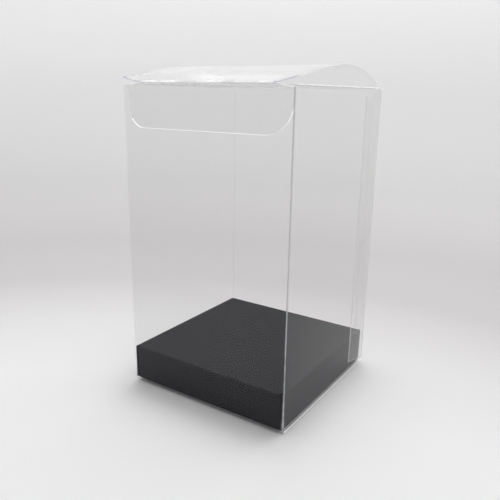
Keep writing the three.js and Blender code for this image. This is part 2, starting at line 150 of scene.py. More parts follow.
def makeClearPvc(name, look):
    material, tree = newMaterial(name)
    place = addNode(tree, "ShaderNodeTexCoord").outputs["Object"]
    side = addNode(tree, "ShaderNodeNewGeometry").outputs["Backfacing"]

    swim = addNode(tree, "ShaderNodeTexNoise", {"Scale": 1 / (look["swimLength"] * mm), "Detail": 1.5},
                   {"Vector": place})
    bump = addNode(tree, "ShaderNodeBump", {"Strength": 1.0, "Distance": look["swimHeight"] * mm},
                   {"Height": swim.outputs["Fac"]})

    # Seen from inside the sheet the light meets the same two faces, so the angle counts the same
    ior = addNode(tree, "ShaderNodeMix", {"data_type": "FLOAT", 2: look["ior"], 3: 1 / look["ior"]},
                  {0: side})
    mirrored = addNode(tree, "ShaderNodeFresnel", {}, {"IOR": ior.outputs[0], "Normal": bump.outputs[0]})
    throughFace = tuple(channel ** 0.5 for channel in hexColour(look["tint"]))
    through = addNode(tree, "ShaderNodeBsdfTransparent", {"Color": throughFace})
    mirror = addNode(tree, "ShaderNodeBsdfGlossy",
                     {"Color": hexColour(look["mirror"]), "Roughness": look["roughness"]},
                     {"Normal": bump.outputs[0]})
    clear = addNode(tree, "ShaderNodeMixShader", {},
                    {0: mirrored.outputs[0], 1: through.outputs[0], 2: mirror.outputs[0]})

    # Creasing whitens the sheet, unevenly along the line
    creased = addNode(tree, "ShaderNodeAttribute", {"attribute_name": "creased"})
    uneven = addNode(tree, "ShaderNodeTexNoise", {"Scale": 1 / (look["creaseSpot"] * mm), "Detail": 3.0},
                     {"Vector": place})
    unevenRange = addNode(tree, "ShaderNodeMapRange",
                          {"From Min": noiseSpread[0], "From Max": noiseSpread[1],
                           "To Min": look["creaseLeast"], "To Max": 1.0},
                          {"Value": uneven.outputs["Fac"]})
    creaseCover = addNode(tree, "ShaderNodeMath", {"operation": "MULTIPLY"},
                          {0: creased.outputs["Fac"], 1: unevenRange.outputs[0]})
    creaseShare = addNode(tree, "ShaderNodeMath", {"operation": "MULTIPLY", 1: look["creaseCover"]},
                          {0: creaseCover.outputs[0]})

    # Long faint scuffs from packing, and a little dust held by static
    stretched = addNode(tree, "ShaderNodeMapping",
                        {"Scale": (1.0, 1.0, look["scuffStretch"]), "Rotation": look["scuffTurn"]},
                        {"Vector": place})
    scuffScale = look["scuffAspect"] / (look["scuffLength"] * mm)
    scuff = addNode(tree, "ShaderNodeTexNoise", {"Scale": scuffScale, "Detail": 4.0, "Roughness": 0.6},
                    {"Vector": stretched.outputs[0]})
    leastScuff, mostScuff = look["scuffSpread"]
    scuffShare = addNode(tree, "ShaderNodeMapRange",
                         {"From Min": leastScuff, "From Max": mostScuff, "To Max": look["scuffCover"]},
                         {"Value": scuff.outputs["Fac"]})
    grain = addNode(tree, "ShaderNodeTexVoronoi", {"Scale": 1 / (look["dustSpacing"] * mm)},
                    {"Vector": place})
    speckSize = look["dustSize"] / look["dustSpacing"]
    speck = addNode(tree, "ShaderNodeMapRange",
                    {"From Min": speckSize, "From Max": speckSize / 2, "To Max": look["dustCover"]},
                    {"Value": grain.outputs["Distance"]})
    marks = addNode(tree, "ShaderNodeMath", {"operation": "ADD", "use_clamp": True},
                    {0: scuffShare.outputs[0], 1: speck.outputs[0]})
    share = addNode(tree, "ShaderNodeMath", {"operation": "MAXIMUM"},
                    {0: creaseShare.outputs[0], 1: marks.outputs[0]})
    total = addNode(tree, "ShaderNodeMath", {"operation": "MAXIMUM", 1: look["cover"]}, {0: share.outputs[0]})

    lit = addNode(tree, "ShaderNodeBsdfPrincipled",
                  {"Base Color": hexColour(look["creaseColour"]), "Roughness": 0.4, "IOR": 1.53})
    glowing = addNode(tree, "ShaderNodeBsdfTranslucent", {"Color": hexColour(look["creaseColour"])})
    scattered = addNode(tree, "ShaderNodeMixShader", {0: look["glow"]},
                        {1: lit.outputs[0], 2: glowing.outputs[0]})
    # Painted glow: the whitened places give out light of their own, so creases and cut edges show brighter
    # than the light that falls on them
    paintedGlow = addNode(tree, "ShaderNodeEmission",
                      {"Color": hexColour(look["creaseColour"]), "Strength": look["paintedGlow"]})
    whitenedAndGlow = addNode(tree, "ShaderNodeAddShader", {}, {0: scattered.outputs[0], 1: paintedGlow.outputs[0]})
    seen = lightPasses(tree)
    shown = addNode(tree, "ShaderNodeMath", {"operation": "MULTIPLY"},
                    {0: total.outputs[0], 1: seen.outputs[0]})
    surface = addNode(tree, "ShaderNodeMixShader", {},
                      {0: shown.outputs[0], 1: clear.outputs[0], 2: whitenedAndGlow.outputs[0]})
    addNode(tree, "ShaderNodeOutputMaterial", {}, {"Surface": surface.outputs[0]})
    return material


# Die-cut edge of the same sheet. The blade crushes it whiter, and a strong painted glow makes it a bright
# hair line.
cutEdge = dict(clearPvc, creaseColour="fcfcfc", glow=0.5, paintedGlow=0.7, cover=0.95)

# Where the sleeve is cut, the knife went through cleanly, and the edge stays duller, lit by a weaker painted
# glow
dullEdge = dict(clearPvc, creaseColour="c8c8cb", glow=0.2, paintedGlow=0.28, cover=0.74)

# The lid's cut edges are a little whitened, with a painted glow that makes them a light line
lidEdge = dict(clearPvc, creaseColour="d9d9dc", glow=0.2, paintedGlow=0.3, cover=0.5)

# Where an edge runs the way the sheet was rolled it shears cleanly, and hardly shows, with a faint painted
# glow
cleanEdge = dict(clearPvc, creaseColour="e4e4e6", glow=0.3, paintedGlow=0.2, cover=0.3)

# The slits at the lid's front are opened each time it lifts. Their edges are coloured grey as painted shade,
# since they catch no light from above, with a faint painted glow
slitEdge = dict(clearPvc, creaseColour="bdb9c6", glow=0.2, paintedGlow=0.2, cover=0.9)

# The lid is flexed each time it closes: its surface has gone a little hazy. Its front crease is whitened, and
# a painted glow in broken spots along it stands for the highlights that it catches
lidPvc = dict(clearPvc, ior=1.08, roughness=0.18, creaseColour="fcfcfc", creaseCover=0.95, paintedGlow=0.4,
              creaseSpot=6, creaseLeast=0.1)

# The creases that the dust flaps turn on have been bent back and forth, and are whiter than the corners, with
# a painted glow that makes them bright lines
flexedCrease = dict(clearPvc, creaseColour="fcfcfc", creaseCover=0.8, paintedGlow=0.35, creaseLeast=0.4)

# Clear glue, pressed to a film between two sheets and dried. It is almost unseen, with faint milky
# streaks along the way that the bead was drawn.
driedGlue = {
    "colour": "fcfcfc",
    "glow": 0.8,
    "cover": 0.05,
    "streakWidth": 1.6,
    "streakStretch": 0.08,
    "streakSpread": (0.35, 0.75),
    "ior": 1.48,
    "roughness": 0.3,
}


def makeDriedGlue(look):
    material, tree = newMaterial("dried clear glue")
    place = addNode(tree, "ShaderNodeTexCoord").outputs["Object"]
    drawn = addNode(tree, "ShaderNodeMapping", {"Scale": (1.0, 1.0, look["streakStretch"])},
                    {"Vector": place})
    streak = addNode(tree, "ShaderNodeTexNoise", {"Scale": 1 / (look["streakWidth"] * mm), "Detail": 3.0},
                     {"Vector": drawn.outputs[0]})
    leastStreak, mostStreak = look["streakSpread"]
    share = addNode(tree, "ShaderNodeMapRange",
                    {"From Min": leastStreak, "From Max": mostStreak, "To Max": look["cover"]},
                    {"Value": streak.outputs["Fac"]})
    through = addNode(tree, "ShaderNodeBsdfTransparent", {"Color": hexColour("ffffff")})
    milky = addNode(tree, "ShaderNodeBsdfPrincipled",
                    {"Base Color": hexColour(look["colour"]), "Roughness": look["roughness"],
                     "IOR": look["ior"]})
    glowing = addNode(tree, "ShaderNodeBsdfTranslucent", {"Color": hexColour(look["colour"])})
    film = addNode(tree, "ShaderNodeMixShader", {0: look["glow"]},
                   {1: milky.outputs[0], 2: glowing.outputs[0]})
    seen = lightPasses(tree)
    shown = addNode(tree, "ShaderNodeMath", {"operation": "MULTIPLY"},
                    {0: share.outputs[0], 1: seen.outputs[0]})
    surface = addNode(tree, "ShaderNodeMixShader", {},
                      {0: shown.outputs[0], 1: through.outputs[0], 2: film.outputs[0]})
    addNode(tree, "ShaderNodeOutputMaterial", {}, {"Surface": surface.outputs[0]})
    return material


# Through-dyed black card, rolled smooth but uncoated. Its fibres give a dull charcoal with a fine mottle,
# and its folds are rubbed a little lighter.
blackCard = {
    "dark": "212126",
    "light": "25252a",
    "rubbed": "434349",
    "fibre": 0.8,  # real fibres are about 0.02 mm wide, drawn coarser so that they show
    "fibreHeight": 0.002,
    "fibreRelief": 0.12,
    "mottle": 6,
    "rubbedSpread": (0.4, 0.8),
    "rubbedMost": 0.7,
    "ior": 1.3,  # 1.45 in the tables, matched down because the fibres shade one another
    "roughness": (0.66, 0.82),
}


def makeBlackCard(look):
    material, tree = newMaterial("uncoated black card")
    place = addNode(tree, "ShaderNodeTexCoord").outputs["Object"]
    fibre = addNode(tree, "ShaderNodeTexNoise",
                    {"Scale": 1 / (look["fibre"] * mm), "Detail": 2.0, "Roughness": 0.5}, {"Vector": place})
    mottle = addNode(tree, "ShaderNodeTexNoise", {"Scale": 1 / (look["mottle"] * mm), "Detail": 3.0},
                     {"Vector": place})
    tone = addNode(tree, "ShaderNodeMath", {"operation": "ADD"},
                   {0: fibre.outputs["Fac"], 1: mottle.outputs["Fac"]})
    toneRange = addNode(tree, "ShaderNodeMapRange",
                        {"From Min": 2 * noiseSpread[0], "From Max": 2 * noiseSpread[1]},
                        {"Value": tone.outputs[0]})
    colour = addNode(tree, "ShaderNodeMix",
                     {"data_type": "RGBA", 6: hexColour(look["dark"]), 7: hexColour(look["light"])},
                     {0: toneRange.outputs[0]})
    creased = addNode(tree, "ShaderNodeAttribute", {"attribute_name": "creased"})
    leastRubbed, mostRubbed = look["rubbedSpread"]
    wear = addNode(tree, "ShaderNodeMapRange",
                   {"From Min": leastRubbed, "From Max": mostRubbed, "To Max": look["rubbedMost"]},
                   {"Value": fibre.outputs["Fac"]})
    worn = addNode(tree, "ShaderNodeMath", {"operation": "MULTIPLY"},
                   {0: creased.outputs["Fac"], 1: wear.outputs[0]})
    rubbed = addNode(tree, "ShaderNodeMix", {"data_type": "RGBA", 7: hexColour(look["rubbed"])},
                     {0: worn.outputs[0], 6: colour.outputs[2]})
    smoothest, dullest = look["roughness"]
    rough = addNode(tree, "ShaderNodeMapRange", {"To Min": smoothest, "To Max": dullest},
                    {"Value": mottle.outputs["Fac"]})
    bump = addNode(tree, "ShaderNodeBump",
                   {"Strength": look["fibreRelief"], "Distance": look["fibreHeight"] * mm},
                   {"Height": fibre.outputs["Fac"]})
    card = addNode(tree, "ShaderNodeBsdfPrincipled", {"IOR": look["ior"]},
                   {"Base Color": rubbed.outputs[2], "Roughness": rough.outputs[0],
                    "Normal": bump.outputs[0]})
    addNode(tree, "ShaderNodeOutputMaterial", {}, {"Surface": card.outputs[0]})
    return material


clearMaterial = makeClearPvc("calendered clear PVC", clearPvc)
cleanMaterial = makeClearPvc("clean-sheared PVC edge", cleanEdge)
flapMaterials = [clearMaterial, makeClearPvc("die-cut PVC edge", cutEdge), cleanMaterial]
sleeveMaterials = [clearMaterial, makeClearPvc("knife-cut PVC edge", dullEdge), cleanMaterial,
                   makeClearPvc("flexed PVC crease", flexedCrease)]
lidMaterials = [makeClearPvc("flexed clear PVC", lidPvc), makeClearPvc("lid PVC edge, painted glow", lidEdge),
                makeClearPvc("PVC slit edge, painted shade", slitEdge)]
dustFlapMaterials = [clearMaterial, cleanMaterial]
glueMaterial = makeDriedGlue(driedGlue)
cardMaterials = [makeBlackCard(blackCard)]
print("materials made")


def smoothStep(share):
    share = min(max(share, 0.0), 1.0)
    return share * share * (3 - 2 * share)


def arcPoints(centreX, centreY, radius, fromDegrees, toDegrees, steps):
    angles = [math.radians(fromDegrees + (toDegrees - fromDegrees) * i / steps) for i in range(steps + 1)]
    return [(centreX + radius * math.cos(a), centreY + radius * math.sin(a)) for a in angles]


def gridLines(low, high, cell):
    count = max(1, round((high - low) / cell))
    return [low + (high - low) * i / count for i in range(1, count)]


# Places in each piece's list of materials
plainSheet, cutStrip, otherCut, flexedStrip = 0, 1, 2, 3


# outline holds the flat blank's corners, place takes a flat point to its folded place, creases tells how
# creased a flat point is, and linesU and linesV are where the blank is divided for its bends
def foldBlank(name, outline, place, creases, thickness, cutEdgeWidth, linesU=(), linesV=(),
              cell=sheet["cell"], materials=flapMaterials):
    blank = bmesh.new()
    face = blank.faces.new([blank.verts.new((u, v, 0)) for u, v in outline])
    if face.normal.z < 0:
        face.normal_flip()
    if cutEdgeWidth:
        border = bmesh.ops.inset_region(blank, faces=[face], thickness=cutEdgeWidth, use_even_offset=True,
                                        use_boundary=True)
        for strip in border["faces"]:
            strip.material_index = cutStrip
    us, vs = zip(*outline)
    for axis, low, high, lines in ((0, min(us), max(us), linesU), (1, min(vs), max(vs), linesV)):
        normal = (1, 0, 0) if axis == 0 else (0, 1, 0)
        for at in sorted(set(lines) | set(gridLines(low, high, cell))):
            spot = (at, 0, 0) if axis == 0 else (0, at, 0)
            everything = blank.verts[:] + blank.edges[:] + blank.faces[:]
            bmesh.ops.bisect_plane(blank, geom=everything, dist=1e-5, plane_co=spot, plane_no=normal)
    mesh = thickened(name, blank, place, creases, thickness, cutEdgeWidth > 0)
    blank.free()
    for material in materials:
        mesh.materials.append(material)
    mesh.shade_smooth()
    mesh.set_sharp_from_angle(angle=math.radians(sheet["sharpAngle"]))
    piece = bpy.data.objects.new(name, mesh)
    bpy.context.scene.collection.objects.link(piece)
    return piece


# The folded blank with its two faces and its cut edge, each face half the thickness from the middle
def thickened(name, blank, place, creases, thickness, edged):
    step = 0.005  # apart enough to tell which way the sheet faces there
    body = bmesh.new()
    creased = body.verts.layers.float.new("creased")
    pairs = []
    for vert in blank.verts:
        u, v, _ = vert.co
        along = Vector(place(u + step, v)) - Vector(place(u - step, v))
        across = Vector(place(u, v + step)) - Vector(place(u, v - step))
        half = along.cross(across).normalized() * thickness / 2
        middle = Vector(place(u, v))
        pair = [body.verts.new((middle + half * side) * mm) for side in (1, -1)]
        for made in pair:
            made[creased] = creases(u, v)
        pairs.append(pair)
    blank.verts.index_update()
    for flat in blank.faces:
        loop = [vert.index for vert in flat.verts]
        front = body.faces.new([pairs[i][0] for i in loop])
        back = body.faces.new([pairs[i][1] for i in reversed(loop)])
        front.material_index = back.material_index = flat.material_index
    for edge in blank.edges:
        if edge.is_boundary:
            loop = edge.link_loops[0]
            a, b = loop.vert.index, loop.link_loop_next.vert.index
            rim = body.faces.new((pairs[a][0], pairs[a][1], pairs[b][1], pairs[b][0]))
            rim.material_index = cutStrip if edged else plainSheet
    mesh = bpy.data.meshes.new(name)
    body.to_mesh(mesh)
    body.free()
    return mesh


def finishPiece(piece, body, slotName, *nodes):
    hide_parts(*nodes)
    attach(piece, body)
    return piece


# Gives the faces of one look another, wherever isThere says so of a place in mm
def relook(piece, fromLook, toLook, isThere):
    for face in piece.data.polygons:
        if face.material_index == fromLook and isThere(face.center / mm):
            face.material_index = toLook


def recut(piece, look, isThere):
    relook(piece, cutStrip, look, isThere)


def nearLine(value, line, fade):
    return math.exp(-((value - line) / fade) ** 2)


# Sleeve: one sheet, folded at four corners, from the right panel's free edge round to the glue tab
sleeve = {
    "foldRadius": 0.45,  # of the sheet's middle
    "inset": 0.006,  # keeps the bow and the folds inside the box's true size
    "foldSteps": 8,
    "foldReach": 0.6,  # from the box's corner to where a fold ends
    "foldMargins": (0.25, 0.6, 1.2),  # rows of faces beside a fold
    "creaseShares": (1.0, 0.1, 0.06, 0.06),  # how white the four corners are, from the right front one on
    "creaseSetback": 2,  # from a corner to where a flap's crease starts
    "creaseMargins": (0.35, 0.7),  # rows of faces beside a flap's crease
    "cornerFoot": 0.7,  # how much higher the wall ends beside a bottom crease
    "topWhite": (0.8, 0.16),  # how white a flap's crease is, and over what width
    "bottomWhite": (0.75, 0.15),
    "flare": 1.2,  # how much wider a corner's whitened line gets toward its foot
    "flareHeight": 12,
    "bow": 0.06,
    "bowLength": 45,
    "bowFades": (12, 15, 25),  # to a corner, the foot and the top
    "tabSlant": 2,
}


# Points along straight runs with rounded corners, and where along it each corner starts and ends
def filletedPath(corners, radius, steps):
    points = [corners[0]]
    bends = []
    length = 0.0

    def goOn(point):
        nonlocal length
        length += math.dist(points[-1], point)
        points.append(point)

    def toward(corner, other):
        span = math.dist(corner, other)
        return tuple(c + (o - c) * radius / span for c, o in zip(corner, other))

    for before, corner, after in zip(corners, corners[1:], corners[2:]):
        start, end = toward(corner, before), toward(corner, after)
        centre = [s + e - c for s, e, c in zip(start, end, corner)]
        goOn(start)
        bendStart = length
        for i in range(1, steps + 1):
            turn = math.pi / 2 * i / steps
            goOn(tuple(m + (s - m) * math.cos(turn) + (e - m) * math.sin(turn)
                       for m, s, e in zip(centre, start, end)))
        bends.append((bendStart, length))
    goOn(corners[-1])
    return points, bends, length


def buildSleeve():
    middle = sheet["thickness"] / 2 + sleeve["inset"]
    tabLow, tabHigh = nodeBox("glue_tab")
    freeEdge = nodeBox("right_panel")[1].y
    tabX = (tabLow.x + tabHigh.x) / 2
    corners = [
        (halfWidth - middle, freeEdge),
        (halfWidth - middle, -halfDepth + middle),
        (-halfWidth + middle, -halfDepth + middle),
        (-halfWidth + middle, halfDepth - middle),
        (tabX, halfDepth - middle),
        (tabX, tabLow.y),
    ]
    points, bends, total = filletedPath(corners, sleeve["foldRadius"], sleeve["foldSteps"])
    lengths = np.concatenate([[0], np.cumsum([math.dist(a, b) for a, b in zip(points, points[1:])])])
    xs, ys = np.array(points).T

    topAxis = hinges["lid_hinge"].z
    lowDust = hinges["bottom_dust_left_crease"].z
    lowFront = hinges["bottom_hinge"].z
    creaseHalf = halfWidth - sleeve["creaseSetback"]
    rightFoot, frontFoot, leftFoot, backFoot = (nodeBox(f"{wall}_panel")[0].z
                                                for wall in ("right", "front", "left", "back"))
    wallEnds = [end for _, end in bends]
    rightEnd, frontEnd, leftEnd, backEnd = wallEnds
    lift, reach = sleeve["cornerFoot"], sleeve["foldReach"]
    walls = [  # start, end, middle of the crease, bottom of the plate, line that the bottom flap turns on
        (0, rightEnd, freeEdge, rightFoot + lift, lowDust),
        (rightEnd, frontEnd, rightEnd + halfWidth - reach, frontFoot + lift, lowFront),
        (frontEnd, leftEnd, frontEnd + halfDepth - reach, leftFoot + lift, lowDust),
        (leftEnd, backEnd, leftEnd + halfWidth - reach, backFoot, None),
    ]

    def wallAt(u):
        for i, end in enumerate(wallEnds):
            if u <= end:
                return i
        return len(walls)

    top = [(0, wallTop)]
    for wall in (0, 2, 3):
        centre = walls[wall][2]
        top += [(centre - creaseHalf, wallTop), (centre - creaseHalf, topAxis + creaseArc),
                (centre + creaseHalf, topAxis + creaseArc), (centre + creaseHalf, wallTop)]
    tabStart = backEnd
    top += [(tabStart, wallTop), (tabStart, tabHigh.z), (total, tabHigh.z - sleeve["tabSlant"])]
    bottom = [(total, tabLow.z + sleeve["tabSlant"]), (tabStart, tabLow.z)]
    for start, end, centre, low, axis in reversed(walls):
        bottom.append((end, low))
        if axis is not None:
            bottom += [(centre + creaseHalf, low), (centre + creaseHalf, axis - creaseArc),
                       (centre - creaseHalf, axis - creaseArc), (centre - creaseHalf, low)]
        bottom.append((start, low))
    outline = top + bottom

    def place(u, v):
        x, y = np.interp(u, lengths, xs), np.interp(u, lengths, ys)
        step = 0.05
        ahead, behind = min(u + step, total), max(u - step, 0)
        direction = Vector((np.interp(ahead, lengths, xs) - np.interp(behind, lengths, xs),
                            np.interp(ahead, lengths, ys) - np.interp(behind, lengths, ys))).normalized()
        inwardX, inwardY = direction.y, -direction.x
        wall = wallAt(u)
        inward, z = 0.0, v
        radius = sheet["creaseRadius"]
        lowAxis = walls[wall][4] if wall < len(walls) else None
        if v > topAxis:
            turn = (v - topAxis) / radius
            inward, z = radius * (1 - math.cos(turn)), topAxis + radius * math.sin(turn)
        elif lowAxis is not None and v < lowAxis:
            turn = (lowAxis - v) / radius
            inward, z = radius * (1 - math.cos(turn)), lowAxis - radius * math.sin(turn)
        if wall < len(walls):
            start, end = walls[wall][0], bends[wall][0]
            cornerFade, footFade, topFade = sleeve["bowFades"]
            across = smoothStep((u - start) / cornerFade) * smoothStep((end - u) / cornerFade)
            upward = smoothStep((v - footFade) / footFade) * smoothStep((wallTop - v) / topFade)
            swell = 0.5 + noise.noise(Vector((u, v, 0)) / sleeve["bowLength"])
            inward += sleeve["bow"] * across * upward * swell
        return x + inwardX * inward, y + inwardY * inward, z

    def creases(u, v):
        most = 0.0
        for i, (start, end) in enumerate(bends):
            centre = (start + end) / 2
            flare = 1 + sleeve["flare"] * smoothStep((sleeve["flareHeight"] - v) / sleeve["flareHeight"])
            most = max(most, sleeve["creaseShares"][i] * nearLine(u, centre, sheet["creaseFade"] * flare))
        wall = wallAt(u)
        if wall in (0, 2, 3):
            white, fade = sleeve["topWhite"]
            most = max(most, white * nearLine(v, topAxis + sheet["creaseMiddle"], fade))
        lowAxis = walls[wall][4] if wall < len(walls) else None
        if lowAxis is not None:
            white, fade = sleeve["bottomWhite"]
            most = max(most, white * nearLine(v, lowAxis - sheet["creaseMiddle"], fade))
        return most

    linesU = []
    for start, end in bends:
        linesU += [start + (end - start) * i / sleeve["foldSteps"] for i in range(sleeve["foldSteps"] + 1)]
        for margin in sleeve["foldMargins"]:
            linesU += [start - margin, end + margin]
    linesV = []
    for axis, upward in ((topAxis, 1), (lowDust, -1), (lowFront, -1)):
        linesV += [axis] + [axis + upward * line for line in bendLines]
        linesV += [axis - upward * margin for margin in sleeve["creaseMargins"]]
    piece = foldBlank("sleeve_sheet", outline, place, creases, sheet["thickness"], sheet["cutEdge"], linesU,
                      linesV, sheet["cell"], sleeveMaterials)
    edge = sheet["edgeReach"]
    recut(piece, otherCut, lambda at: at.z > wallTop - edge and at.y < -halfDepth + edge)
    # A bent strip runs on into its flap, so it has no cut edge
    recut(piece, plainSheet, lambda at: at.z > topAxis + 0.05 or (at.z < lowDust and at.y < halfDepth - 0.5))
    # The top creases take the flexed crease's look, whitened and with its painted glow
    relook(piece, plainSheet, flexedStrip, lambda at: at.z > topAxis)
    return finishPiece(piece, "sleeve", "clear_sheet", "front_panel", "right_panel", "left_panel",
                       "back_panel", "glue_tab")


buildSleeve()


# A strip of glue with a wandering edge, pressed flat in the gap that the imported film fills
glueFilm = {
    "wander": 0.5,
    "wanderRate": 0.35,  # turns of the edge for each mm
    "step": 2,
    "cell": 4.0,
}


def buildGlueFilm(name, node, body, shift=0.0):
    low, high = nodeBox(node)
    x = (low.x + high.x) / 2 + shift
    points = []
    steps = max(4, round((high.z - low.z) / glueFilm["step"]))
    for across, start, end, inward in ((low.y, high.z, low.z, 1), (high.y, low.z, high.z, -1)):
        for i in range(steps + 1):
            z = start + (end - start) * i / steps
            wander = noise.noise(Vector((across, z * glueFilm["wanderRate"], x)))
            points.append((across + inward * glueFilm["wander"] * (1 + wander) / 2, z))
    piece = foldBlank(name, points, lambda y, z: (x, y, z), lambda y, z: 0.0, high.x - low.x, 0,
                      cell=glueFilm["cell"], materials=[glueMaterial])
    return finishPiece(piece, body, "clear_glue", node)


buildGlueFilm("seam_glue", "seam_adhesive", "sleeve")
print("sleeve folded")


# Lid: bowed up between its front crease and its back hinge, with a slit at each end of the crease
lid = {
    "peakRise": 6.298,
    "peakShare": 0.57,  # how far back the peak is
    "frontStart": (0.235, 0.62),  # handles of the bow's two curves, as shares of their run and rise
    "frontPeak": 0.3,
    "backPeak": 0.41,
    "backEnd": (0.24, 0.43),
    "curveSteps": 120,
    "slitLength": 6.5,
    "slitGap": 0.03,
    "shoulderLift": 1.4,
    "shoulderFade": 6,
    "creaseBlend": (2.5, 1.5),  # how soon the crease's step levels out behind it and past a slit
    "lipSetback": 0.2,
    "rootGap": 0.48,  # wide enough that the bowed lid clears the back wall when it lies right over
    "rootReach": 0.7,
    "frontWhite": (0.9, 0.2),  # how white the crease is, and over what width
    "rootWhite": (0.4, 0.3),
    "frontRows": (0.3, 0.7, 1.2, 1.8, 2.5, 3.5, 4.5),  # rows of faces behind the crease
    "backRows": (0.5, 1.2),
    "slitRows": (-1.5, 0.5, 1, 1.5, 2.5, 4),
    "cell": 2.0,
}
slitX = halfWidth - lid["slitLength"]


# The middle of the lid's sheet from the side: (y, z) from the front crease to the back hinge, and lengths
def lidProfile():
    front, back = hinges["tuck_crease"], hinges["lid_hinge"]
    start, end = Vector((front.y, front.z, 0)), Vector((back.y, back.z, 0))
    peak = Vector((-halfDepth + 2 * halfDepth * lid["peakShare"], back.z + lid["peakRise"], 0))
    rise, fall = peak - start, end - peak
    (frontRun, frontRise), (backRun, backFall) = lid["frontStart"], lid["backEnd"]
    frontHandle = start + Vector((rise.x * frontRun, rise.y * frontRise, 0))
    backHandle = end - Vector((fall.x * backRun, fall.y * backFall, 0))
    toPeak = peak - Vector((rise.x * lid["frontPeak"], 0, 0))
    fromPeak = peak + Vector((fall.x * lid["backPeak"], 0, 0))
    first = interpolate_bezier(start, frontHandle, toPeak, peak, lid["curveSteps"])
    second = interpolate_bezier(peak, fromPeak, backHandle, end, lid["curveSteps"])
    points = np.array([(p.x, p.y) for p in first[:-1] + second])
    lengths = np.concatenate([[0], np.cumsum(np.hypot(*np.diff(points, axis=0).T))])
    return points, lengths


def buildLid():
    points, lengths = lidProfile()
    total = lengths[-1]
    axis = hinges["tuck_crease"]
    slope = (points[1] - points[0]) / np.hypot(*(points[1] - points[0]))
    normalAngle = math.atan2(slope[0], -slope[1])
    lidSide = nodeBox("lid_panel")[1].x
    lip = (axis.y - (-halfDepth + lid["lipSetback"])) / slope[0]
    root = total - lid["rootGap"]
    radius = sheet["creaseRadius"]

    def place(x, s):
        outward = abs(x) - slitX
        if s < 0 and outward < 0:
            angle = normalAngle - s / radius
            return x, axis.y + radius * math.cos(angle), axis.z + radius * math.sin(angle)
        if s < 0:
            y, z = points[0] + slope * s
        else:
            y, z = np.interp(s, lengths, points[:, 0]), np.interp(s, lengths, points[:, 1])
        behind, beside = lid["creaseBlend"]
        lift = radius * (1 - smoothStep(s / behind)) * (1 - smoothStep(outward / beside))
        y -= lift * slope[1]
        z += lift * slope[0]
        if outward > 0:
            forward = min(max((axis.y + lid["shoulderFade"] - y) / lid["shoulderFade"], 0), 1)
            z += lid["shoulderLift"] * outward / (lidSide - slitX) * forward ** 2
        return x, y, z

    def creases(x, s):
        (frontWhite, frontFade), (rootWhite, rootFade) = lid["frontWhite"], lid["rootWhite"]
        front = nearLine(s, -sheet["creaseMiddle"], frontFade) if abs(x) < slitX else 0
        return max(frontWhite * front, rootWhite * nearLine(s, root, rootFade))

    gap = lid["slitGap"]
    outline = [(-slitX + gap, -creaseArc), (slitX - gap, -creaseArc), (slitX - gap, -gap),
               (slitX + gap, -gap), (slitX + gap, -lip), (lidSide, -lip), (lidSide, root), (-lidSide, root),
               (-lidSide, -lip), (-slitX - gap, -lip), (-slitX - gap, -gap), (-slitX + gap, -gap)]
    linesV = [-line for line in bendLines] + [-lip / 2, 0]
    linesV += list(lid["frontRows"]) + [root - row for row in lid["backRows"]]
    linesU = [side * (slitX + row) for side in (-1, 1) for row in lid["slitRows"]]
    piece = foldBlank("lid_sheet", outline, place, creases, sheet["thickness"], sheet["cutEdge"], linesU,
                      linesV, lid["cell"], lidMaterials)
    recut(piece, plainSheet, lambda at: at.y > hinges["lid_hinge"].y - lid["rootReach"])
    recut(piece, otherCut, lambda at: abs(at.x) > slitX - 0.1 and at.y < axis.y + sheet["edgeReach"])
    return finishPiece(piece, "lid", "clear_sheet", "lid_panel")


buildLid()

# Tuck flap: hangs from the lid's front crease, inside the front panel
tuck = {
    "depth": 13.2,
    "leftRadius": 4.5,
    "rightRadius": 10,
    "cutEdge": 0.26,
    "shoulderDrop": 0.7,
    "lean": 2,
    "bend": 0.33,
    "cornerSteps": 12,
    "rootRows": (-0.1, 0.2, 0.5, 0.9),
    "cell": 2.0,
}


# Of a tuck flap, from its root down, with each corner rounded
def flapOutline(side, depth, leftRadius, rightRadius, shoulderDrop, rootRise):
    steps = tuck["cornerSteps"]
    right = arcPoints(side - rightRadius, depth - rightRadius, rightRadius, 0, 90, steps)
    left = arcPoints(-side + leftRadius, depth - leftRadius, leftRadius, 90, 180, steps)
    root = [(-slitX, -rootRise), (slitX, -rootRise)]
    return root + [(side, shoulderDrop)] + right + left + [(-side, shoulderDrop)]


# How creased a flap is beside its root line
def rootCrease(line):
    return lambda across, down: sheet["rootWhite"] * nearLine(down, line, sheet["rootFade"])


def buildTuckFlap():
    axis = hinges["tuck_crease"]
    start = sheet["flapStart"]
    rootRise = start - sheet["flapGap"]
    side = nodeBox("tuck_flap")[1].x

    def place(x, d):
        along = (d + sheet["thickness"]) / (tuck["depth"] + 2 * sheet["thickness"])
        y = axis.y + 2 * tuck["lean"] * tuck["bend"] * along * (1 - along) + tuck["lean"] * along ** 2
        return x, y, axis.z - start - d

    outline = flapOutline(side, tuck["depth"], tuck["leftRadius"], tuck["rightRadius"],
                          tuck["shoulderDrop"], rootRise)
    piece = foldBlank("tuck_flap_sheet", outline, place, rootCrease(-rootRise), sheet["thickness"],
                      tuck["cutEdge"], (), tuck["rootRows"], tuck["cell"])
    recut(piece, plainSheet, lambda at: at.z > axis.z - start - 0.1)
    recut(piece, otherCut, lambda at: abs(at.x) > side - sheet["thickness"])
    return finishPiece(piece, "tuck", "clear_sheet", "tuck_flap")


buildTuckFlap()
print("lid and tuck flap bent")


# Dust flaps, the same at the top and at the bottom
dust = {
    "backGap": 3.6,
    "frontGap": 2.2,
    "taper": 10,
    "notchDepth": 5,
    "notchStep": 1.5,
    "cornerRadius": 3,
    "cornerSteps": 5,
    "rootRows": (0.6, 0.9, 1.3),
}


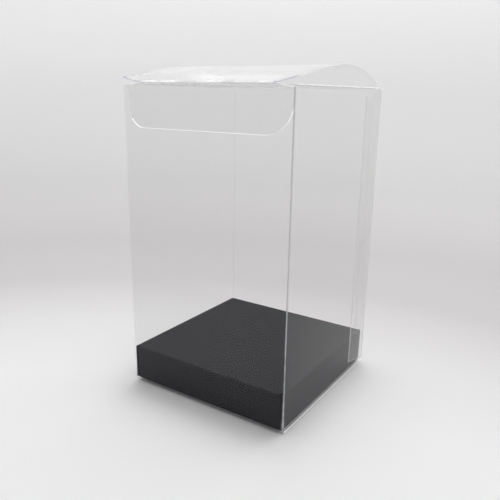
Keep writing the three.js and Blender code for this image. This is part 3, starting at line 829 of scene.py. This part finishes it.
def buildDustFlap(name, node, body, joint, taperSide):
    axis = hinges[joint]
    side = 1 if axis.x > 0 else -1
    low, high = nodeBox(node)
    tip = abs(axis.x) - min(abs(low.x), abs(high.x))
    root, start = sheet["flapGap"], sheet["flapStart"]
    taperEdge = halfDepth - dust["backGap"]
    lockEdge = -(halfDepth - dust["frontGap"])
    step, notch, radius = dust["notchStep"], dust["notchDepth"], dust["cornerRadius"]
    outline = [(taperEdge, root), (taperEdge, start), (taperEdge - dust["taper"], tip)]
    outline += arcPoints(lockEdge + step + radius, tip - radius, radius, 90, 180, dust["cornerSteps"])
    outline += [(lockEdge + step, start + notch), (lockEdge, start + notch - step), (lockEdge, root)]

    def place(w, d):
        return side * (abs(axis.x) - d), w * taperSide, axis.z

    piece = foldBlank(name, outline, place, rootCrease(root), sheet["thickness"], sheet["cutEdge"], (),
                      dust["rootRows"], sheet["cell"], dustFlapMaterials)
    recut(piece, plainSheet, lambda at: abs(at.x) > abs(axis.x) - root - sheet["thickness"])
    return finishPiece(piece, body, "clear_sheet", node)


for where in ("left", "right"):
    for level, taperSide in (("", 1), ("bottom_", -1)):
        flap, body = f"{level}dust_flap_{where}", f"{level}dust_{where}"
        buildDustFlap(f"{flap}_sheet", flap, body, f"{body}_crease", taperSide)
print("dust flaps cut")


# Bottom closure and its tuck flap
bottomTuck = {
    "depth": 6.3,
    "cornerRadius": 3,
    "lean": 0.4,
    "creaseWhite": (0.8, 0.2),
    "hingeRows": (0.4, 1),
    "lipRows": (0.3, 0.8),
    "rootRows": (0.2, 0.5, 0.9),
}


def buildBottom():
    axis, tuckAxis = hinges["bottom_hinge"], hinges["bottom_tuck_crease"]
    low, high = nodeBox("bottom_closure_panel")
    side = high.x
    middle = sheet["thickness"] / 2
    root = axis.y + sheet["flapGap"]
    lip = halfDepth - 2 * sheet["thickness"]
    gap = lid["slitGap"]
    radius = sheet["creaseRadius"]

    def place(x, y):
        if abs(x) < slitX and y > tuckAxis.y:
            turn = (y - tuckAxis.y) / radius
            return x, tuckAxis.y + radius * math.sin(turn), tuckAxis.z - radius * math.cos(turn)
        return x, y, middle

    hingeCrease = rootCrease(root)

    def creases(x, y):
        white, fade = bottomTuck["creaseWhite"]
        return max(hingeCrease(x, y), white * nearLine(y, tuckAxis.y + sheet["creaseMiddle"], fade))

    slitEnd, bendEnd = tuckAxis.y + gap, tuckAxis.y + creaseArc
    outline = [(-side, root), (side, root), (side, lip), (slitX + gap, lip), (slitX + gap, slitEnd),
               (slitX - gap, slitEnd), (slitX - gap, bendEnd), (-slitX + gap, bendEnd),
               (-slitX + gap, slitEnd), (-slitX - gap, slitEnd), (-slitX - gap, lip), (-side, lip)]
    linesV = [tuckAxis.y] + [tuckAxis.y + line for line in bendLines]
    linesV += [root + row for row in bottomTuck["hingeRows"]]
    linesV += [tuckAxis.y - row for row in bottomTuck["lipRows"]]
    piece = foldBlank("bottom_closure_sheet", outline, place, creases, sheet["thickness"], sheet["cutEdge"],
                      (), linesV)
    recut(piece, plainSheet, lambda at: at.y < root + sheet["thickness"])
    finishPiece(piece, "bottom_lid", "clear_sheet", "bottom_closure_panel")

    lean = math.asin(bottomTuck["lean"] / bottomTuck["depth"])
    start = sheet["flapStart"]

    def placeTuck(x, d):
        return x, tuckAxis.y - d * math.sin(lean), tuckAxis.z + start + d * math.cos(lean)

    tuckSide = nodeBox("bottom_tuck_flap")[1].x
    corner = bottomTuck["cornerRadius"]
    outline = flapOutline(tuckSide, bottomTuck["depth"], corner, corner, 0, start - sheet["flapGap"])
    piece = foldBlank("bottom_tuck_flap_sheet", outline, placeTuck, rootCrease(0), sheet["thickness"],
                      sheet["cutEdge"], (), bottomTuck["rootRows"])
    recut(piece, plainSheet, lambda at: at.z < tuckAxis.z + start + 0.1)
    finishPiece(piece, "bottom_tuck", "clear_sheet", "bottom_tuck_flap")


buildBottom()
print("bottom closed")


# Card plinth: one blank with four skirts, and tabs at the ends of the front and back skirts
plinth = {
    "card": 0.5,
    "pressLeft": 0.5,  # in the photo the tray is pressed out against the walls
    "pressRight": 0.2,
    "pressFront": 0.15,
    "pressDown": 0.25,  # and right down on the bottom's flaps
    "foldRadius": 0.55,  # of the outer face
    "foldSteps": 5,
    "foldMargins": (0.4, 1),  # rows of faces beside a fold
    "foldFade": 0.5,
    "glueGap": 0.1,
    "tabLength": 9,
    "tabSlant": 1.5,
    "cell": 4.0,
}


def buildPlinth():
    left = nodeBox("plinth_skirt_left")[0].x - plinth["pressLeft"]
    right = nodeBox("plinth_skirt_right")[1].x + plinth["pressRight"]
    front = nodeBox("plinth_skirt_front")[0].y - plinth["pressFront"]
    back = nodeBox("plinth_skirt_back")[1].y
    bottom = nodeBox("plinth_skirt_left")[0].z - plinth["pressDown"]
    top = nodeBox("plinth_deck")[1].z
    width, depth = right - left, back - front
    centreX, centreY = (left + right) / 2, (front + back) / 2
    card, outer = plinth["card"], plinth["foldRadius"]
    mid = outer - card / 2
    bend = mid * math.pi / 2
    deckX, deckY = width / 2 - outer, depth / 2 - outer
    turnX = width / 2 - card - plinth["glueGap"] - outer
    skirtLength = bend + top - bottom - outer
    tabHigh = bend + outer

    def folded(t):
        if t <= 0:
            return t, 0.0
        if t < bend:
            return mid * math.sin(t / mid), -mid * (1 - math.cos(t / mid))
        return mid, -mid - (t - bend)

    def place(u, v):
        sideU, sideV = math.copysign(1, u), math.copysign(1, v)
        z = top - card / 2
        if abs(u) > deckX and abs(v) <= depth / 2 + 0.01:
            out, down = folded(abs(u) - deckX)
            return centreX + sideU * (deckX + out), centreY + v, z + down
        out, down = folded(abs(v) - deckY)
        x, y = u, deckY + out
        if abs(v) > deckY and abs(u) > turnX:
            along, inward = folded(abs(u) - turnX)
            x, y = sideU * (turnX + along), y + inward
        return centreX + x, centreY + sideV * y, z + down

    def creases(u, v):
        fade = plinth["foldFade"]
        return max(nearLine(abs(u), deckX + bend / 2, fade) if abs(v) < depth / 2 + 0.01 else 0,
                   nearLine(abs(v), deckY + bend / 2, fade) if abs(u) < turnX + 0.01 else 0)

    tabEnd = turnX + bend + plinth["tabLength"]
    slant = plinth["tabSlant"]
    quarter = [  # from the middle of the right skirt's edge round to the middle of the back skirt's edge
        (deckX + skirtLength, depth / 2), (deckX, depth / 2), (deckX, deckY), (turnX, deckY),
        (turnX, deckY + tabHigh), (turnX + bend, deckY + tabHigh), (tabEnd, deckY + tabHigh + slant),
        (tabEnd, deckY + skirtLength - slant), (turnX + bend, deckY + skirtLength),
    ]
    mirrored = [(-u, v) for u, v in reversed(quarter)]
    outline = quarter + mirrored + [(-u, -v) for u, v in quarter] + [(u, -v) for u, v in reversed(quarter)]
    turned = [bend * i / plinth["foldSteps"] for i in range(plinth["foldSteps"] + 1)]
    lines = list(turned)
    for margin in plinth["foldMargins"]:
        lines += [-margin, bend + margin]
    linesU, linesV = [], []
    for side in (-1, 1):
        linesU += [side * (deckX + line) for line in lines]
        linesU += [side * (turnX + line) for line in turned[:-1]]  # the tab's own corner marks the last one
        linesV += [side * (deckY + line) for line in lines]
    piece = foldBlank("plinth_card", outline, place, creases, card, 0, linesU, linesV, plinth["cell"],
                      cardMaterials)
    return finishPiece(piece, "plinth", "black_card", "plinth_deck", "plinth_skirt_front",
                       "plinth_skirt_back", "plinth_skirt_left", "plinth_skirt_right",
                       "plinth_corner_tab_front_left", "plinth_corner_tab_front_right",
                       "plinth_corner_tab_back_left", "plinth_corner_tab_back_right")


buildPlinth()
for frontOrBack in ("front", "back"):
    for leftOrRight, shift in (("left", -plinth["pressLeft"]), ("right", plinth["pressRight"])):
        glue = f"corner_glue_{frontOrBack}_{leftOrRight}"
        buildGlueFilm(glue, f"plinth_{glue}", "plinth", shift)
print("plinth folded")


# Studio: a pale round sweep with an open top, so that the sheet mirrors the same pale tone all round
studio = {
    "radius": 330,
    "rings": (60, 140, 240),
    "turns": 96,
    "bend": 420,
    "bendSteps": 10,
    "slope": 42,
    "rim": 1000,
    "floorDrop": 0.5,  # the real bottom bulges and lifts the box's edges, which shades the floor there
    "toneReach": 1200,
    "toneCentre": (40, -160, 0),
    "floorShadeTones": (  # painted shade, greyer in the middle distance and lighter far out, as the light falls off: how far out from that centre, and the colour
        (0, "efefef"),
        (110, "efefef"),
        (155, "eeeeee"),
        (200, "e5e4e4"),
        (260, "cfcccd"),
        (340, "cac7c8"),
        (560, "d3d2d2"),
        (800, "ebebeb"),
        (1100, "f5f5f5"),
    ),
    "softboxes": {  # place, width, height and power
        "back": ((-90, 720, 900), 1500, 700, 5.0),
        "overhead": ((0, -50, 1100), 900, 900, 2.4),
    },
    "frontStrength": 0.2,  # the room in front is dimmer, which leaves the shade under the box's front
    "backStrength": 1.0,
    "roomBlend": 0.7,  # how far from straight ahead the dim side ends
}


def makeFloor():
    material, tree = newMaterial("pale studio floor")
    place = addNode(tree, "ShaderNodeTexCoord").outputs["Object"]
    reach = studio["toneReach"]
    centre = tuple(length * mm for length in studio["toneCentre"])
    # Painted shade: the floor's colour follows its distance from the tone centre
    outward = addNode(tree, "ShaderNodeVectorMath", {"operation": "DISTANCE", 1: centre}, {0: place})
    share = addNode(tree, "ShaderNodeMapRange", {"From Max": reach * mm}, {"Value": outward.outputs["Value"]})
    colour = addNode(tree, "ShaderNodeValToRGB", {}, {"Fac": share.outputs[0]})
    tones = colour.color_ramp.elements
    while len(tones) < len(studio["floorShadeTones"]):
        tones.new(0.5)  # its true place is set below
    for element, (distance, tone) in zip(tones, studio["floorShadeTones"]):
        element.position, element.color = distance / reach, hexColour(tone)
    paper = addNode(tree, "ShaderNodeBsdfPrincipled", {"Roughness": 0.9, "IOR": 1.3},
                    {"Base Color": colour.outputs["Color"]})
    addNode(tree, "ShaderNodeOutputMaterial", {}, {"Surface": paper.outputs[0]})
    return material


def buildSweep():
    radius, bend, turns = studio["radius"], studio["bend"], studio["turns"]
    slope = math.radians(studio["slope"])
    profile = [(r, 0) for r in (*studio["rings"], radius)]
    for i in range(1, studio["bendSteps"] + 1):
        rise = slope * i / studio["bendSteps"]
        profile.append((radius + bend * math.sin(rise), bend * (1 - math.cos(rise))))
    lastRadius, lastHeight = profile[-1]
    profile.append((studio["rim"], lastHeight + (studio["rim"] - lastRadius) * math.tan(slope)))
    sweep = bmesh.new()
    centre = sweep.verts.new((0, 0, 0))
    angles = [2 * math.pi * i / turns for i in range(turns)]
    rings = [[sweep.verts.new((r * mm * math.cos(a), r * mm * math.sin(a), z * mm)) for a in angles]
             for r, z in profile]
    for i in range(turns):
        sweep.faces.new((centre, rings[0][i], rings[0][(i + 1) % turns]))
        for inner, outer in zip(rings, rings[1:]):
            sweep.faces.new((inner[i], outer[i], outer[(i + 1) % turns], inner[(i + 1) % turns]))
    mesh = bpy.data.meshes.new("studio_sweep")
    sweep.to_mesh(mesh)
    sweep.free()
    mesh.shade_smooth()
    mesh.materials.append(makeFloor())
    floor = bpy.data.objects.new("studio_sweep", mesh)
    floor.location.z = -studio["floorDrop"] * mm
    bpy.context.scene.collection.objects.link(floor)


def addLamps():
    for name, (place, width, height, power) in studio["softboxes"].items():
        lamp = bpy.data.lights.new(f"{name} softbox", "AREA")
        lamp.shape = "RECTANGLE"
        lamp.size = width * mm
        lamp.size_y = height * mm
        lamp.energy = power
        softbox = bpy.data.objects.new(f"{name} softbox", lamp)
        softbox.location = Vector(place) * mm
        softbox.rotation_euler = (-softbox.location).to_track_quat("-Z", "Y").to_euler()
        bpy.context.scene.collection.objects.link(softbox)
    world = bpy.data.worlds.new("even room light")
    world.use_nodes = True
    tree = world.node_tree
    tree.nodes.clear()
    toward = addNode(tree, "ShaderNodeTexCoord").outputs["Generated"]
    axes = addNode(tree, "ShaderNodeSeparateXYZ", {}, {0: toward})
    strength = addNode(tree, "ShaderNodeMapRange",
                       {"From Min": -studio["roomBlend"], "From Max": studio["roomBlend"],
                        "To Min": studio["frontStrength"], "To Max": studio["backStrength"]},
                       {"Value": axes.outputs["Y"]})
    glow = addNode(tree, "ShaderNodeBackground", {"Color": hexColour("ffffff")},
                   {"Strength": strength.outputs[0]})
    addNode(tree, "ShaderNodeOutputWorld", {}, {"Surface": glow.outputs[0]})
    bpy.context.scene.world = world


# The camera stands where the photograph was taken, worked out from the box's own corners
view = {
    "position": (99.5, -156.3, 97.3),
    "lens": 40.0,
    "sensor": 36,
    "yaw": 33.06,
    "pitch": 15.69,
    "roll": 0.94,
}


def addCamera():
    yaw, pitch, roll = (math.radians(view[key]) for key in ("yaw", "pitch", "roll"))
    right = Vector((math.cos(yaw), math.sin(yaw), 0))
    level = Vector((-math.sin(yaw), math.cos(yaw), 0))
    ahead = level * math.cos(pitch) - Vector((0, 0, math.sin(pitch)))
    up = level * math.sin(pitch) + Vector((0, 0, math.cos(pitch)))
    rolledRight = right * math.cos(roll) + up * math.sin(roll)
    rolledUp = -right * math.sin(roll) + up * math.cos(roll)
    lens = bpy.data.cameras.new("photo camera")
    lens.lens = view["lens"]
    lens.sensor_width = view["sensor"]
    lens.clip_start = 5 * mm
    camera = bpy.data.objects.new("photo camera", lens)
    camera.matrix_world = Matrix((rolledRight, rolledUp, -ahead)).transposed().to_4x4()
    camera.location = Vector(view["position"]) * mm
    bpy.context.scene.collection.objects.link(camera)
    bpy.context.scene.camera = camera


buildSweep()
addLamps()
addCamera()
scene = bpy.context.scene
scene.view_settings.view_transform = "Standard"
scene.cycles.transparent_max_bounces = 32  # a ray can pass a dozen sheets, each with two faces
scene.cycles.max_bounces = 16
print("studio set")
